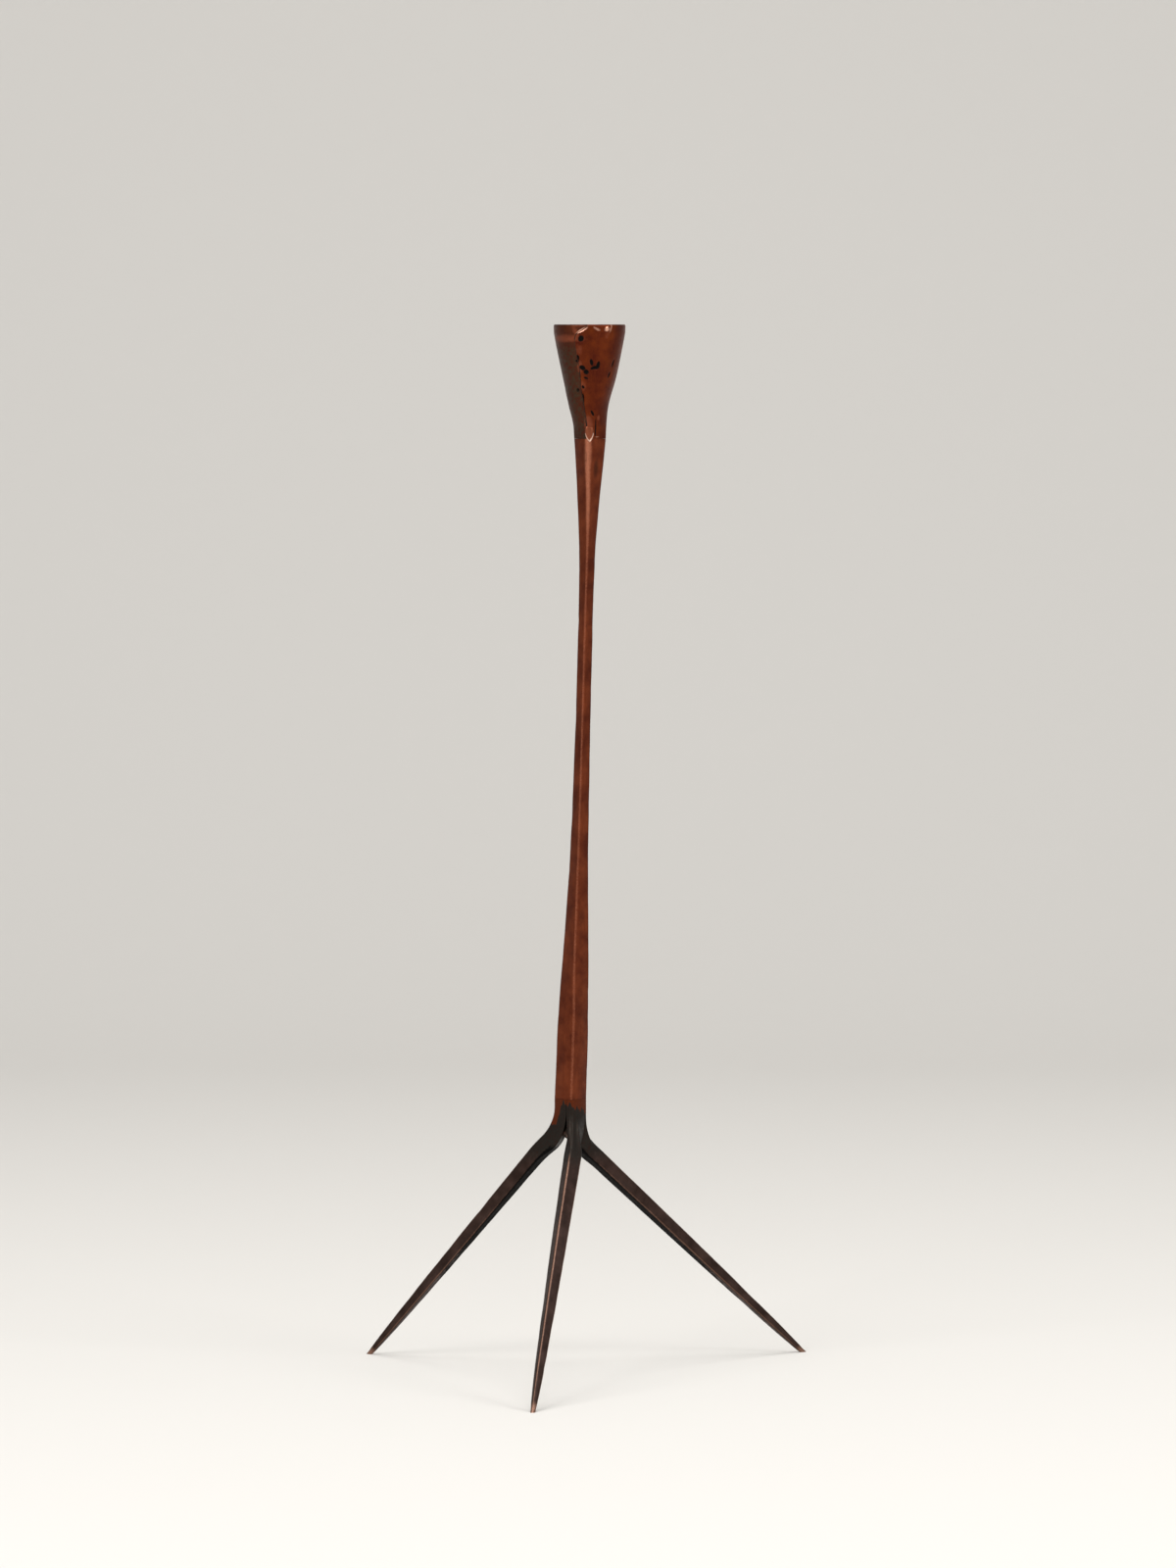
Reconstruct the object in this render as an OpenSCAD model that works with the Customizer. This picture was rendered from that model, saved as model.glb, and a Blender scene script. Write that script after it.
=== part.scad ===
// Forged copper candlestick on three drawn-out legs
// The origin lies on the floor, in the middle of the ground that the feet span.
// +Z is up, +X is to the right as the candlestick is seen from the front, and +Y is to the back.

/* [Whole height] */
// Height of the joint between the stem and the legs above the floor
leg_h = 132; // [122:1:142]
// Length of the stem between its two joints
stem_len = 314; // [298:1:330]
// Height of the candle cup
cup_h = 54; // [48:1:60]
// How far the rim stands to the right of the stem's foot
lean = 9.2; // [0:0.1:14]

/* [Candle cup] */
// Width over the rim
rim_w = 34.2; // [30:0.1:38]
// Width at the top of the cone, where it turns up into the lip
lip_w = 33.6; // [30:0.1:36]
// Height of the upright lip
lip_h = 5; // [3:0.1:8]
// Width of the cone half way up
belly_w = 25; // [22:0.1:28]
// Height of that place above the cup's foot
belly_at = 27.5; // [24:0.1:31]
// Width of the throat, where the cone starts to flare
throat_w = 17.2; // [16:0.1:19]
// Height of the throat above the cup's foot
throat_at = 10.5; // [8:0.1:13]
// Width over the arrises where the cup meets the stem
cup_foot_w = 14.9; // [13.5:0.1:16]
// Thickness of the rolled copper sheet
wall = 1.6; // [1:0.1:2.2]
// How far the sheet's outer edge stands over the sheet below it at the lap
lap_step = 0.8; // [0.3:0.1:1.2]
// Part of a turn over which the lap is scarfed down, in degrees
lap_scarf = 70; // [40:5:120]
// Bearing of the lap's edge at the rim
lap_at_rim = 264; // [258:1:266]
// Bearing of the lap's edge half way up
lap_at_belly = 256; // [250:1:264]
// Width of the braze bead along the lap
bead_w = 1.1; // [0.6:0.1:1.6]

/* [Stem] */
// Width over the arrises at the stem's foot
foot_w = 15; // [13:0.1:17]
// Width where the lower swelling ends
hip_w = 14.4; // [12:0.1:16]
// Height of that place above the stem's foot
hip_at = 38; // [28:1:50]
// Width half way down the lower taper
knee_w = 9.3; // [8:0.1:11]
// Height of that place above the stem's foot
knee_at = 108; // [95:1:120]
// Width where the lower taper ends
calf_w = 7.7; // [7:0.1:9]
// Height of that place above the stem's foot
calf_at = 154; // [144:1:168]
// Width at the thinnest place
waist_w = 7; // [6:0.1:8]
// Height of the thinnest place above the stem's foot
waist_at = 214; // [198:1:226]
// Width where the stem starts to swell towards the cup
neck_w = 7.9; // [7:0.1:9]
// Height of that place above the stem's foot
neck_at = 262; // [248:1:272]
// Width of the narrow flat hammered along each arris
arris_flat = 1; // [0.4:0.1:1.6]
// Height of the plug on which the cup is rolled
plug_h = 10; // [6:0.5:14]
// Turn of the arrises at the stem's foot
turn_foot = 3; // [-10:1:10]
// Turn of the arrises along the middle of the stem
turn_middle = -5; // [-15:1:10]
// Turn of the arrises at the cup
turn_top = -4; // [-15:1:10]
// Diameter of the round tenon between the legs
tenon_d = 5; // [4:0.1:6]
// Length of the tenon below the stem's foot
tenon_len = 13; // [8:0.5:16]

/* [Legs] */
// Thickness of a leg where it leaves the hub
leg_w = 7.5; // [6:0.1:8.2]
// Thickness of a leg at its foot
toe_w = 1.6; // [1.2:0.1:2.8]
// How long the legs keep their thickness: less is longer
leg_taper = 0.45; // [0.3:0.05:1]
// Width of the flat along each arris of a leg
leg_arris = 1; // [0.4:0.1:1.6]
// Length of the head that is filed to its share of the bundle
head_len = 6; // [4:0.5:9]
// Length over which the head is drawn down to a square bar
draw_len = 26; // [18:1:32]
// Radius of the bends below the hub
bend_r = 27; // [18:1:36]
// Bearing of the joint between the left leg and the front leg
left_front_split = 252; // [242:1:258]
// Bearing of the joint between the front leg and the right leg
front_right_split = 356; // [348:1:358]
// Bearing of the joint between the right leg and the left leg
right_left_split = 105; // [95:1:115]
// Height of the braze web in each crotch
web_h = 12; // [8:0.5:15]
// How far the middle of a web's lower edge is arched up
web_arch = 5; // [1:0.5:5.5]
// Reach of the left foot from the stem
left_reach = 115.5; // [100:0.5:130]
// Bearing of the left foot
left_bearing = 148; // [140:1:156]
// How far below the joint the left leg starts to bend
left_drop = 2; // [0.5:0.5:12]
// Turn of the left leg's section about its own length
left_turn = -4; // [-15:1:15]
// Reach of the right foot from the stem
right_reach = 132; // [100:0.5:140]
// Bearing of the right foot
right_bearing = 31; // [20:1:38]
// How far below the joint the right leg starts to bend
right_drop = 8; // [0.5:0.5:12]
// Turn of the right leg's section about its own length
right_turn = 9; // [-15:1:15]
// Reach of the front foot from the stem
front_reach = 122.5; // [100:0.5:130]
// Bearing of the front foot
front_bearing = 262; // [256:1:268]
// How far below the joint the front leg starts to bend
front_drop = 5; // [0.5:0.5:12]
// Turn of the front leg's section about its own length
front_turn = 36; // [0:1:45]

/* [Fit] */
// Thickness of the braze film in each joint
braze_film = 0.1; // [0.05:0.01:0.2]

/* [Hidden] */

sheet_copper = "#8a4a22";
bar_copper = "#7d3b1e";
fired_copper = "#43332d";
braze = "#8f8668";

// Where the pieces meet
cup_foot_z = leg_h + stem_len;
rim_z = cup_foot_z + cup_h;
plug_z = cup_foot_z + plug_h;
lip_round = wall / 4;
tenon_sides = 48;
tenon_root = 2;
plug_root = 2;

// Share of a round section, from 0 for flat sides to 1 for a circle
round_foot = 0.2;
round_stem = 0.12;
round_cup_foot = 0.3;
round_throat = 0.85;
round_cone = 1;

// Stations up the stem and the cup: height, width over the arrises, roundness and turn
stations = [
    [leg_h, foot_w, round_foot, turn_foot],
    [leg_h + hip_at, hip_w, round_stem, turn_foot],
    [leg_h + knee_at, knee_w, round_stem, turn_middle],
    [leg_h + calf_at, calf_w, round_stem, turn_middle],
    [leg_h + waist_at, waist_w, round_stem, turn_middle],
    [leg_h + neck_at, neck_w, round_stem, turn_middle],
    [cup_foot_z, cup_foot_w, round_cup_foot, turn_top],
    [cup_foot_z + throat_at, throat_w, round_throat, turn_top],
    [cup_foot_z + belly_at, belly_w, round_cone, turn_top],
    [rim_z - lip_h, lip_w, round_cone, turn_top],
    [rim_z, rim_w, round_cone, turn_top]
];
width_col = 1;
round_col = 2;
turn_col = 3;

// Rings per stretch between two stations
stem_steps = 5;
cup_steps = 3;
// Bearings of the points on a flat side, between two arrises
side_bearings = [15, 30, 45, 60, 75];
quarter = 90;
lean_ease = 1.6;

// Slope of a column of a table at its row i
function slope(table, i, col) =
    let(a = max(i - 1, 0), b = min(i + 1, len(table) - 1))
    (table[b][col] - table[a][col]) / (table[b][0] - table[a][0]);

// Row of a table below which the height z lies
function row_at(table, z, i = 0) =
    i >= len(table) - 2 || z <= table[i + 1][0] ? i : row_at(table, z, i + 1);

// Smooth curve through a column of a table: a cubic between each two rows
function curve(table, z, col) =
    let(
        i = row_at(table, z),
        h = table[i + 1][0] - table[i][0],
        t = (z - table[i][0]) / h,
        rise = table[i + 1][col] - table[i][col],
        start = slope(table, i, col) * h,
        end = slope(table, i + 1, col) * h
    )
    table[i][col] + t * start + t * t * (3 * rise - 2 * start - end)
        + t * t * t * (start + end - 2 * rise);

// Soft step from 0 to 1
function ease(t) =
    let(u = min(max(t, 0), 1))
    u * u * (3 - 2 * u);

function mix(a, b, t) = a * (1 - t) + b * t;

// Sideways place of the stem's centre at height z: the lean fades out towards the cup
function lean_at(z) =
    let(rest = 1 - min(max((z - leg_h) / (rim_z - leg_h), 0), 1))
    lean * (1 - pow(rest, lean_ease));

// Bearing from an arris to the edge of its flat
function arris_angle(half_w) = atan(arris_flat / 2 / half_w);

// Radius of the section at a bearing from its first arris: four flat sides, each arris
// hammered flat, mixed with a circle of the same width
function outline_r(bearing, half_w, roundness) =
    let(
        x = abs(cos(bearing)),
        y = abs(sin(bearing)),
        four_sided = min((half_w + arris_flat / 2) / (x + y), half_w / max(x, y))
    )
    mix(four_sided, half_w, roundness);

// The outer radius of stem or cup at height z and a bearing
function body_r(z, bearing) =
    outline_r(bearing - curve(stations, z, turn_col), curve(stations, z, width_col) / 2,
        curve(stations, z, round_col));

// Bearings of a ring's points at height z: the two edges of each arris and the side points
function ring_bearings(z) =
    let(
        edge = arris_angle(curve(stations, z, width_col) / 2),
        turn = curve(stations, z, turn_col)
    )
    [for (q = [0:3], a = concat([-edge, edge], side_bearings)) turn + q * quarter + a];

// A ring round the leaning centre, drawn in by some amount from the outer surface
function ring(z, bearings, drawn_in = 0) =
    [for (a = bearings)
        let(r = body_r(z, a) - drawn_in)
        [lean_at(z) + r * cos(a), r * sin(a), z]];

// Heights of the rings from one row of the stations to another
function heights(first, last, steps) =
    [for (i = [first:last - 1], k = [0:steps - 1])
        mix(stations[i][0], stations[i + 1][0], k / steps)];

// A closed skin over rings of points. A tube's last ring joins its first, and a bar has flat ends
module skin(rings, tube = false) {
    n = len(rings[0]);
    count = len(rings);
    spans = tube ? count : count - 1;
    sides = [for (i = [0:spans - 1], j = [0:n - 1])
        let(
            a = i * n + j,
            b = i * n + (j + 1) % n,
            c = ((i + 1) % count) * n + (j + 1) % n,
            d = ((i + 1) % count) * n + j
        )
        each [[a, c, b], [a, d, c]]];
    ends = tube ? [] : [[for (j = [0:n - 1]) j], [for (j = [n - 1:-1:0]) (count - 1) * n + j]];
    polyhedron([for (r = rings) each r], concat(sides, ends));
}

// Moves the stem's foot off the origin, so that the origin lies amid the feet
left_foot = left_reach * [cos(left_bearing), sin(left_bearing)];
right_foot = right_reach * [cos(right_bearing), sin(right_bearing)];
front_foot = front_reach * [cos(front_bearing), sin(front_bearing)];
middle = ([left_foot.x + right_foot.x, front_foot.y + max(left_foot.y, right_foot.y)]) / 2;

module placed() {
    translate([-middle.x, -middle.y, 0]) children();
}

// Candle cup: copper sheet rolled to a cone, its outer edge lapped over at the front
cup_row = 6;
rim_row = 10;
cup_sides = 32;
lap_least = 0.25;

// Bearing of the lap's edge at height z
function lap_bearing(z) =
    let(t = (z - cup_foot_z) / cup_h)
    mix(lap_at_rim, lap_at_belly, 4 * t * (1 - t));

// Height of the lap's edge over the sheet below it at height z
function lap_height(z) = mix(lap_least, lap_step, ease((z - cup_foot_z) / throat_at));

// Bearings round the cup, from the lap's edge and back to it
function cup_bearings(z) = [for (i = [0:cup_sides]) lap_bearing(z) + 360 * i / cup_sides];

// Outer ring of the cup: a spiral that stands out by the lap's height where it starts
function cup_ring(z, drawn_in = 0) =
    let(lap = lap_bearing(z))
    [for (a = cup_bearings(z))
        let(r = body_r(z, a) + lap_height(z) * (1 - ease((a - lap) / lap_scarf)) - drawn_in)
        [lean_at(z) + r * cos(a), r * sin(a), z]];

cup_heights = concat(heights(cup_row, rim_row, cup_steps), [rim_z - lip_round]);
cup_base_z = cup_foot_z + braze_film;

module candle_cup() {
    outer = [for (z = cup_heights) cup_ring(max(z, cup_base_z))];
    inner = [for (i = [len(cup_heights) - 1:-1:0])
        let(z = max(cup_heights[i], cup_base_z))
        ring(z, cup_bearings(z), wall)];
    edges = [cup_ring(rim_z, lip_round), ring(rim_z, cup_bearings(rim_z), wall - lip_round)];
    color(sheet_copper) placed() skin(concat(outer, edges, inner), tube = true);
}

// Braze along the lap: a bead in the corner that the outer edge makes with the sheet below
module lap_braze() {
    rings = [for (z = cup_heights)
        let(
            base = max(z, cup_base_z),
            lap = lap_bearing(base),
            low = body_r(base, lap) + braze_film / 2,
            high = low + lap_height(base) - braze_film,
            toe = lap - bead_w / low * 180 / PI,
            corner = lap - braze_film / low * 180 / PI,
            toe_r = body_r(base, toe) + braze_film / 2
        )
        [for (p = [[corner, low], [corner, high], [toe, toe_r + braze_film]])
            [lean_at(base) + p[1] * cos(p[0]), p[1] * sin(p[0]), base]]];
    color(braze) placed() skin(rings);
}

// Stem: a drawn bar with four flat sides, a plug for the cup on top and a tenon below
module stem() {
    shaft = [for (z = concat(heights(0, cup_row, stem_steps), [cup_foot_z])) ring(z, ring_bearings(z))];
    plug = [for (z = [cup_foot_z - plug_root, cup_foot_z, (cup_foot_z + plug_z) / 2, plug_z])
        ring(z, cup_bearings(z), wall + braze_film)];
    color(bar_copper) placed() union() {
        skin(shaft);
        skin([for (r = plug) [for (i = [0:cup_sides - 1]) r[i]]]);
        translate([0, 0, leg_h - tenon_len])
            cylinder(h = tenon_len + tenon_root, d = tenon_d, $fn = tenon_sides);
    }
}

// Legs: each is drawn from a head that fills its share of the bundle to a square bar
function unit(bearing) = [cos(bearing), sin(bearing)];

// A leg as [foot, drop before the bend, turn of its section, bearings of its two joint faces]
left_spec = [left_foot, left_drop, left_turn, right_left_split, left_front_split];
front_spec = [front_foot, front_drop, front_turn, left_front_split, front_right_split];
right_spec = [right_foot, right_drop, right_turn, front_right_split - 360, right_left_split];

function foot_of(spec) = spec[0];
function drop_of(spec) = spec[1];
function turn_of(spec) = spec[2];
function first_face(spec) = spec[3];
function last_face(spec) = spec[4];

inner_points = 5;
outer_points = 13;
side_shares = [0.15, 0.85];
leg_rings = 26;
leg_top_z = leg_h - braze_film;

// Where the leg's centre line stands in the bundle, and the bearing and distance of its foot from there
function root_of(spec) = (tenon_d / 2 + foot_w / 2) / 2 * unit((first_face(spec) + last_face(spec)) / 2);
function heading(spec) = let(way = foot_of(spec) - root_of(spec)) atan2(way.y, way.x);
function run_of(spec) = norm(foot_of(spec) - root_of(spec));

// Turn of the bend, such that the straight part below it ends at the foot
function bend_angle(spec) =
    let(run = run_of(spec) - bend_r, fall = leg_top_z - drop_of(spec))
    atan2(run, fall) + asin(bend_r / norm([run, fall]));

function bend_len() = bend_r * PI / 180;

function straight_len(spec) =
    let(a = bend_angle(spec))
    (leg_top_z - drop_of(spec) - bend_r * sin(a)) / cos(a);

function bend_end(spec) = drop_of(spec) + bend_angle(spec) * bend_len();
function path_len(spec) = bend_end(spec) + straight_len(spec);

// Angle of the leg from upright at the distance s along its path
function path_angle(spec, s) = min(max((s - drop_of(spec)) / bend_len(), 0), bend_angle(spec));

// Centre line of the leg at the distance s: [distance from its root, height]
function path_at(spec, s) =
    let(a = path_angle(spec, s), past = max(s - bend_end(spec), 0))
    [bend_r * (1 - cos(a)) + past * sin(a),
        leg_top_z - min(s, drop_of(spec)) - bend_r * sin(a) - past * cos(a)];

// Thickness of the square bar at the distance s
function bar_w(spec, s) = mix(toe_w, leg_w, pow(max(1 - s / path_len(spec), 0), leg_taper));

// How far the head has been drawn down to the bar at the distance s, from 0 to 1
function drawn(s) = ease((s - head_len) / draw_len);

// Points of the head round from the tenon, as [outwards, sideways] from its centre line
function head_section(spec) =
    let(
        first = first_face(spec),
        last = last_face(spec),
        inner_r = (tenon_d / 2 + braze_film) / cos((last - first) / (inner_points - 1) / 2),
        inner = [for (i = [0:inner_points - 1]) inner_r * unit(mix(first, last, i / (inner_points - 1)))],
        outer = [for (i = [0:outer_points - 1])
            let(a = mix(last, first, i / (outer_points - 1))) body_r(leg_h, a) * unit(a)],
        last_side = [for (t = side_shares) mix(inner[inner_points - 1], outer[0], t)],
        first_side = [for (t = side_shares) mix(outer[outer_points - 1], inner[0], t)],
        out = unit(heading(spec)),
        side = unit(heading(spec) + 90)
    )
    [for (p = concat(inner, last_side, outer, first_side))
        let(q = p - root_of(spec)) [q * out, q * side]];

// Points of the square bar, in the same order, as [outwards, sideways] from its centre line
function bar_section(spec, s) =
    let(
        h = bar_w(spec, s) / 2,
        c = h - min(leg_arris, h) / sqrt(2),
        inner = [for (i = [0:inner_points - 1]) [-h, mix(-c, c, i / (inner_points - 1))]],
        outer = [for (i = [0:outer_points - 1]) [h, mix(c, -c, i / (outer_points - 1))]],
        turn = turn_of(spec) * drawn(s)
    )
    [for (p = concat(inner, [[-c, h], [c, h]], outer, [[c, -h], [-c, -h]]))
        [p[0] * cos(turn) - p[1] * sin(turn), p[0] * sin(turn) + p[1] * cos(turn)]];

// Moves a point of a leg onto the nearer side of a joint face, if it lies past it
function kept_off(p, face) =
    let(past = braze_film / 2 - p * face)
    past > 0 ? p + past * face : p;

// Keeps a point inside the leg's share of the bundle, half a braze film off its two joint faces
function in_share(p, spec) =
    kept_off(kept_off(p, unit(first_face(spec) + 90)), unit(last_face(spec) - 90));

// One ring of a leg at the distance s
function leg_ring(spec, s) =
    let(
        at = path_at(spec, s),
        a = path_angle(spec, s),
        head = head_section(spec),
        bar = bar_section(spec, s),
        t = drawn(s),
        out = unit(heading(spec)),
        side = unit(heading(spec) + 90)
    )
    [for (i = [0:len(head) - 1])
        let(
            p = mix(head[i], bar[i], t),
            q = in_share(root_of(spec) + out * (at[0] + p[0] * cos(a)) + side * p[1], spec)
        )
        [q.x, q.y, at[1] + p[0] * sin(a)]];

// The last ring, slid along the leg onto the floor
function foot_ring(spec) =
    let(
        a = bend_angle(spec),
        out = unit(heading(spec)) * tan(a)
    )
    [for (p = leg_ring(spec, path_len(spec))) [p.x + out.x * p.z, p.y + out.y * p.z, 0]];

// Distances of the rings: close together in the hub and towards the foot
function leg_steps(spec) =
    let(hub = head_len + draw_len, half = leg_rings / 2)
    [for (i = [0:leg_rings - 1])
        i < half ? hub * i / half
            : mix(hub, path_len(spec) - toe_w, sin(90 * (i - half) / (half - 1)))];

module leg(spec) {
    rings = [for (s = leg_steps(spec)) leg_ring(spec, s)];
    color(fired_copper) placed() skin(concat(rings, [foot_ring(spec)]));
}

module left_leg() {
    leg(left_spec);
}

module right_leg() {
    leg(right_spec);
}

module front_leg() {
    leg(front_spec);
}

// Braze webs: each fills the crotch between the facing sides of two legs and thins out below
web_rings = 8;
web_last = 0.15;
web_hollow = 0.45;
side_first = inner_points - 1;
side_count = 4;

// The point at a share of the way out along a leg's side face, on the last or the first side
function on_side(ring_points, share, last_side) =
    let(
        n = len(ring_points),
        inner = last_side ? ring_points[side_first] : ring_points[0],
        outer = last_side ? ring_points[side_first + side_count - 1] : ring_points[n - 3]
    )
    mix(inner, outer, share);

function web_ring(spec, next, s) =
    let(
        t = (s - head_len) / web_h,
        share = mix(1, web_last, sin(90 * t)),
        lift = [0, 0, web_arch * t * t],
        here = leg_ring(spec, s),
        there = leg_ring(next, s),
        a = on_side(here, share, true),
        b = on_side(there, share, false),
        root_a = on_side(here, 0, true),
        root_b = on_side(there, 0, false),
        root_middle = (root_a + root_b) / 2
    )
    [root_a, a, mix((a + b) / 2, root_middle, web_hollow) + lift, b, root_b, root_middle + lift];

module web(spec, next) {
    skin([for (i = [0:web_rings]) web_ring(spec, next, head_len + web_h * i / web_rings)]);
}

module hub_braze() {
    color(braze) placed() {
        web(left_spec, front_spec);
        web(front_spec, right_spec);
        web(right_spec, left_spec);
    }
}

candle_cup();
lap_braze();
stem();
left_leg();
right_leg();
front_leg();
hub_braze();
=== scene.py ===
"""Forged copper candlestick: a rolled cup on a leaning four-sided stem, on three legs drawn out to points.

Shapes are worked out in millimetres about the foot of the stem, as surfaces of two parameters, and are moved
into the row's frame and into metres when a piece's mesh is made. Each piece also carries marks, such as soot
or bare metal, as attributes of its points, and the finishes read them. Some marks are also painted shade and
painted highlights.
"""
import logging
from dataclasses import dataclass, field
from enum import Enum

import bpy
import numpy as np
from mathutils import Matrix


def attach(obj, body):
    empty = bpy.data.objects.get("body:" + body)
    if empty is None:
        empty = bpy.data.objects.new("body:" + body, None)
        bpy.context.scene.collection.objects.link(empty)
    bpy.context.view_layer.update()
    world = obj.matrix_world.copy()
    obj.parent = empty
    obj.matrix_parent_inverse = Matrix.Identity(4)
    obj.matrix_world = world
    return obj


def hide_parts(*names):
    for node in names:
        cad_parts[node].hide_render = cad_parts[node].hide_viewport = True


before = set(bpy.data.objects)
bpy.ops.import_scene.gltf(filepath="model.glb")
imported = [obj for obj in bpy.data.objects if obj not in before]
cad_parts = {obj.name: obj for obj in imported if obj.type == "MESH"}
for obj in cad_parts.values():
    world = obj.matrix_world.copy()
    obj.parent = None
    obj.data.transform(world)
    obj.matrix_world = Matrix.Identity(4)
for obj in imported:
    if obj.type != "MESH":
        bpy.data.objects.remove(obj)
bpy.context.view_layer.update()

MM = 0.001
TURN = 360.0
log = logging.getLogger("candlestick")


class Mark(Enum):
    """What a point of a surface can be marked with: each is an attribute that the finishes read. The dark
    marks also carry painted shade, and the mark for bare metal also carries painted highlights.
    """

    SOOT = "soot"
    BLUSH = "blush"
    GLOW = "glow"
    PIT = "pit"
    BRIGHT = "bright"


STRAIGHT = "straight"


# Working out shapes

def ease(share: np.ndarray) -> np.ndarray:
    """Soft step from 0 to 1: three times the square less twice the cube."""
    u = np.clip(share, 0.0, 1.0)
    return u * u * (3.0 - 2.0 * u)


def mix(low: np.ndarray, high: np.ndarray, share: np.ndarray) -> np.ndarray:
    """Straight mix of two values: low at 0 and high at 1."""
    return low * (1.0 - share) + high * share


def bell(distance: np.ndarray, width: float) -> np.ndarray:
    """Bell curve: e to the minus square of distance over width."""
    return np.exp(-(distance / width) ** 2)


def smooth_least(first: np.ndarray, second: np.ndarray, blend: float) -> np.ndarray:
    """The lesser of two values. Where they differ by less than blend, a quadratic rounds the corner off."""
    share = np.clip(0.5 + 0.5 * (second - first) / blend, 0.0, 1.0)
    return mix(second, first, share) - blend * share * (1.0 - share)


def curve(rows: tuple, at: np.ndarray, column: int = 1) -> np.ndarray:
    """Smooth curve through a column of a table.

    A cubic joins each two rows, and its slope at a row is that of the line between the two rows beside it.

    Args:
        rows: table with rising heights in its first column.
        at: heights at which the column is wanted.
        column: which column.

    Returns:
        The column's values at those heights.
    """
    table = np.asarray(rows, dtype=float)
    heights, values = table[:, 0], table[:, column]
    last = len(heights) - 1
    before = np.maximum(np.arange(last + 1) - 1, 0)
    after = np.minimum(np.arange(last + 1) + 1, last)
    slopes = (values[after] - values[before]) / (heights[after] - heights[before])
    at = np.clip(at, heights[0], heights[-1])
    i = np.clip(np.searchsorted(heights, at) - 1, 0, last - 1)
    step = heights[i + 1] - heights[i]
    t = (at - heights[i]) / step
    rise = values[i + 1] - values[i]
    start, end = slopes[i] * step, slopes[i + 1] * step
    return values[i] + t * start + t**2 * (3 * rise - 2 * start - end) + t**3 * (start + end - 2 * rise)


def four_sided(bearing: np.ndarray, half: np.ndarray, flat: np.ndarray, soft: float) -> np.ndarray:
    """Radius of a four-sided bar whose arrises are hammered flat.

    The lesser of two radii: to the flat side, (half + flat / 2) over the sum of |cos| and |sin|, and to the
    flat along the arris, half over the larger of them.

    Args:
        bearing: bearing from the first arris, in degrees.
        half: half of the width over the arrises.
        flat: width of the flat along an arris.
        soft: width over which an edge is rounded.

    Returns:
        The radius at each bearing.
    """
    angle = np.radians(bearing)
    x, y = np.abs(np.cos(angle)), np.abs(np.sin(angle))
    return smooth_least((half + flat / 2) / (x + y), half / np.maximum(x, y), soft)


def crowded(count: int, crowd: float) -> np.ndarray:
    """Bearings of count points on a ring, crowded towards the four arrises at 0, 90, 180 and 270 degrees.

    A quarter's share t becomes t less crowd times the sine of its whole turn, over twice pi.
    """
    quarter, share = np.divmod(np.arange(count) * 4.0 / count, 1.0)
    return 90.0 * (quarter + share - crowd * np.sin(2 * np.pi * share) / (2 * np.pi))


def wrapped(degrees: np.ndarray) -> np.ndarray:
    """A difference of bearings brought between -180 and 180 degrees."""
    return (degrees + 180.0) % TURN - 180.0


@dataclass(frozen=True)
class Patch:
    """A mark on the stem or cup: a soft-edged ellipse, with its half sizes in millimetres.

    Its weight is e to the minus q to the power of firmness, where q is the squared distance in half sizes.
    """

    mark: Mark
    bearing: float
    height: float
    across: float
    tall: float
    tilt: float = 0.0
    strength: float = 1.0
    sunk: float = 0.0
    firmness: float = 2.0

    def weight(self, bearing: np.ndarray, height: np.ndarray, radius: np.ndarray) -> np.ndarray:
        """The patch's weight, from 0 to 1, at points given by bearing, height and radius.

        Args:
            bearing: bearings of the points.
            height: heights of the points.
            radius: radii of the points.

        Returns:
            The weights.
        """
        side = np.radians(wrapped(bearing - self.bearing)) * radius
        rise = height - self.height
        tilt = np.radians(self.tilt)
        along = rise * np.cos(tilt) + side * np.sin(tilt)
        aside = side * np.cos(tilt) - rise * np.sin(tilt)
        q = (aside / self.across) ** 2 + (along / self.tall) ** 2
        return np.exp(-q**self.firmness)


def no_marks(shape: tuple) -> dict:
    """A blank sheet of marks for a grid of points."""
    return {mark: np.zeros(shape) for mark in Mark}


def lay_patches(patches: tuple, marks: dict, bearing: np.ndarray, height: np.ndarray,
                radius: np.ndarray) -> np.ndarray:
    """Lays patches into marks.

    Args:
        patches: the patches.
        marks: the sheet of marks, which is changed.
        bearing: bearings of the points.
        height: heights of the points.
        radius: radii of the points.

    Returns:
        How far each point is sunk by them, in millimetres.
    """
    sunk = np.zeros(np.broadcast(bearing, height, radius).shape)
    for patch in patches:
        weight = patch.weight(bearing, height, radius)
        marks[patch.mark] = np.maximum(marks[patch.mark], patch.strength * weight)
        sunk += patch.sunk * weight
    return sunk


def hammered(seed: int, count: int, length: float, reach: float, depth: float, along: np.ndarray,
             bearing: np.ndarray, radius: np.ndarray) -> np.ndarray:
    """Depth of shallow hammer marks: a sum of round bells at places drawn from a seeded stream.

    Args:
        seed: seed of the stream.
        count: how many marks.
        length: length of the piece, over which they are spread.
        reach: half width of a mark, in millimetres.
        depth: greatest depth of a mark, in millimetres.
        along: distance of each point along the piece.
        bearing: bearing of each point.
        radius: radius of each point.

    Returns:
        The depth at each point, in millimetres.
    """
    stream = np.random.default_rng(seed)
    total = np.zeros(np.broadcast(along, bearing, radius).shape)
    for place, side, share in stream.random((count, 3)):
        arc = np.radians(wrapped(bearing - side * TURN)) * radius
        size = reach * (0.6 + 0.8 * share)
        total += depth * (0.4 + 0.6 * share) * bell(arc, size) * bell(along - place * length, size * 1.4)
    return total


# Gathering meshes

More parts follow.
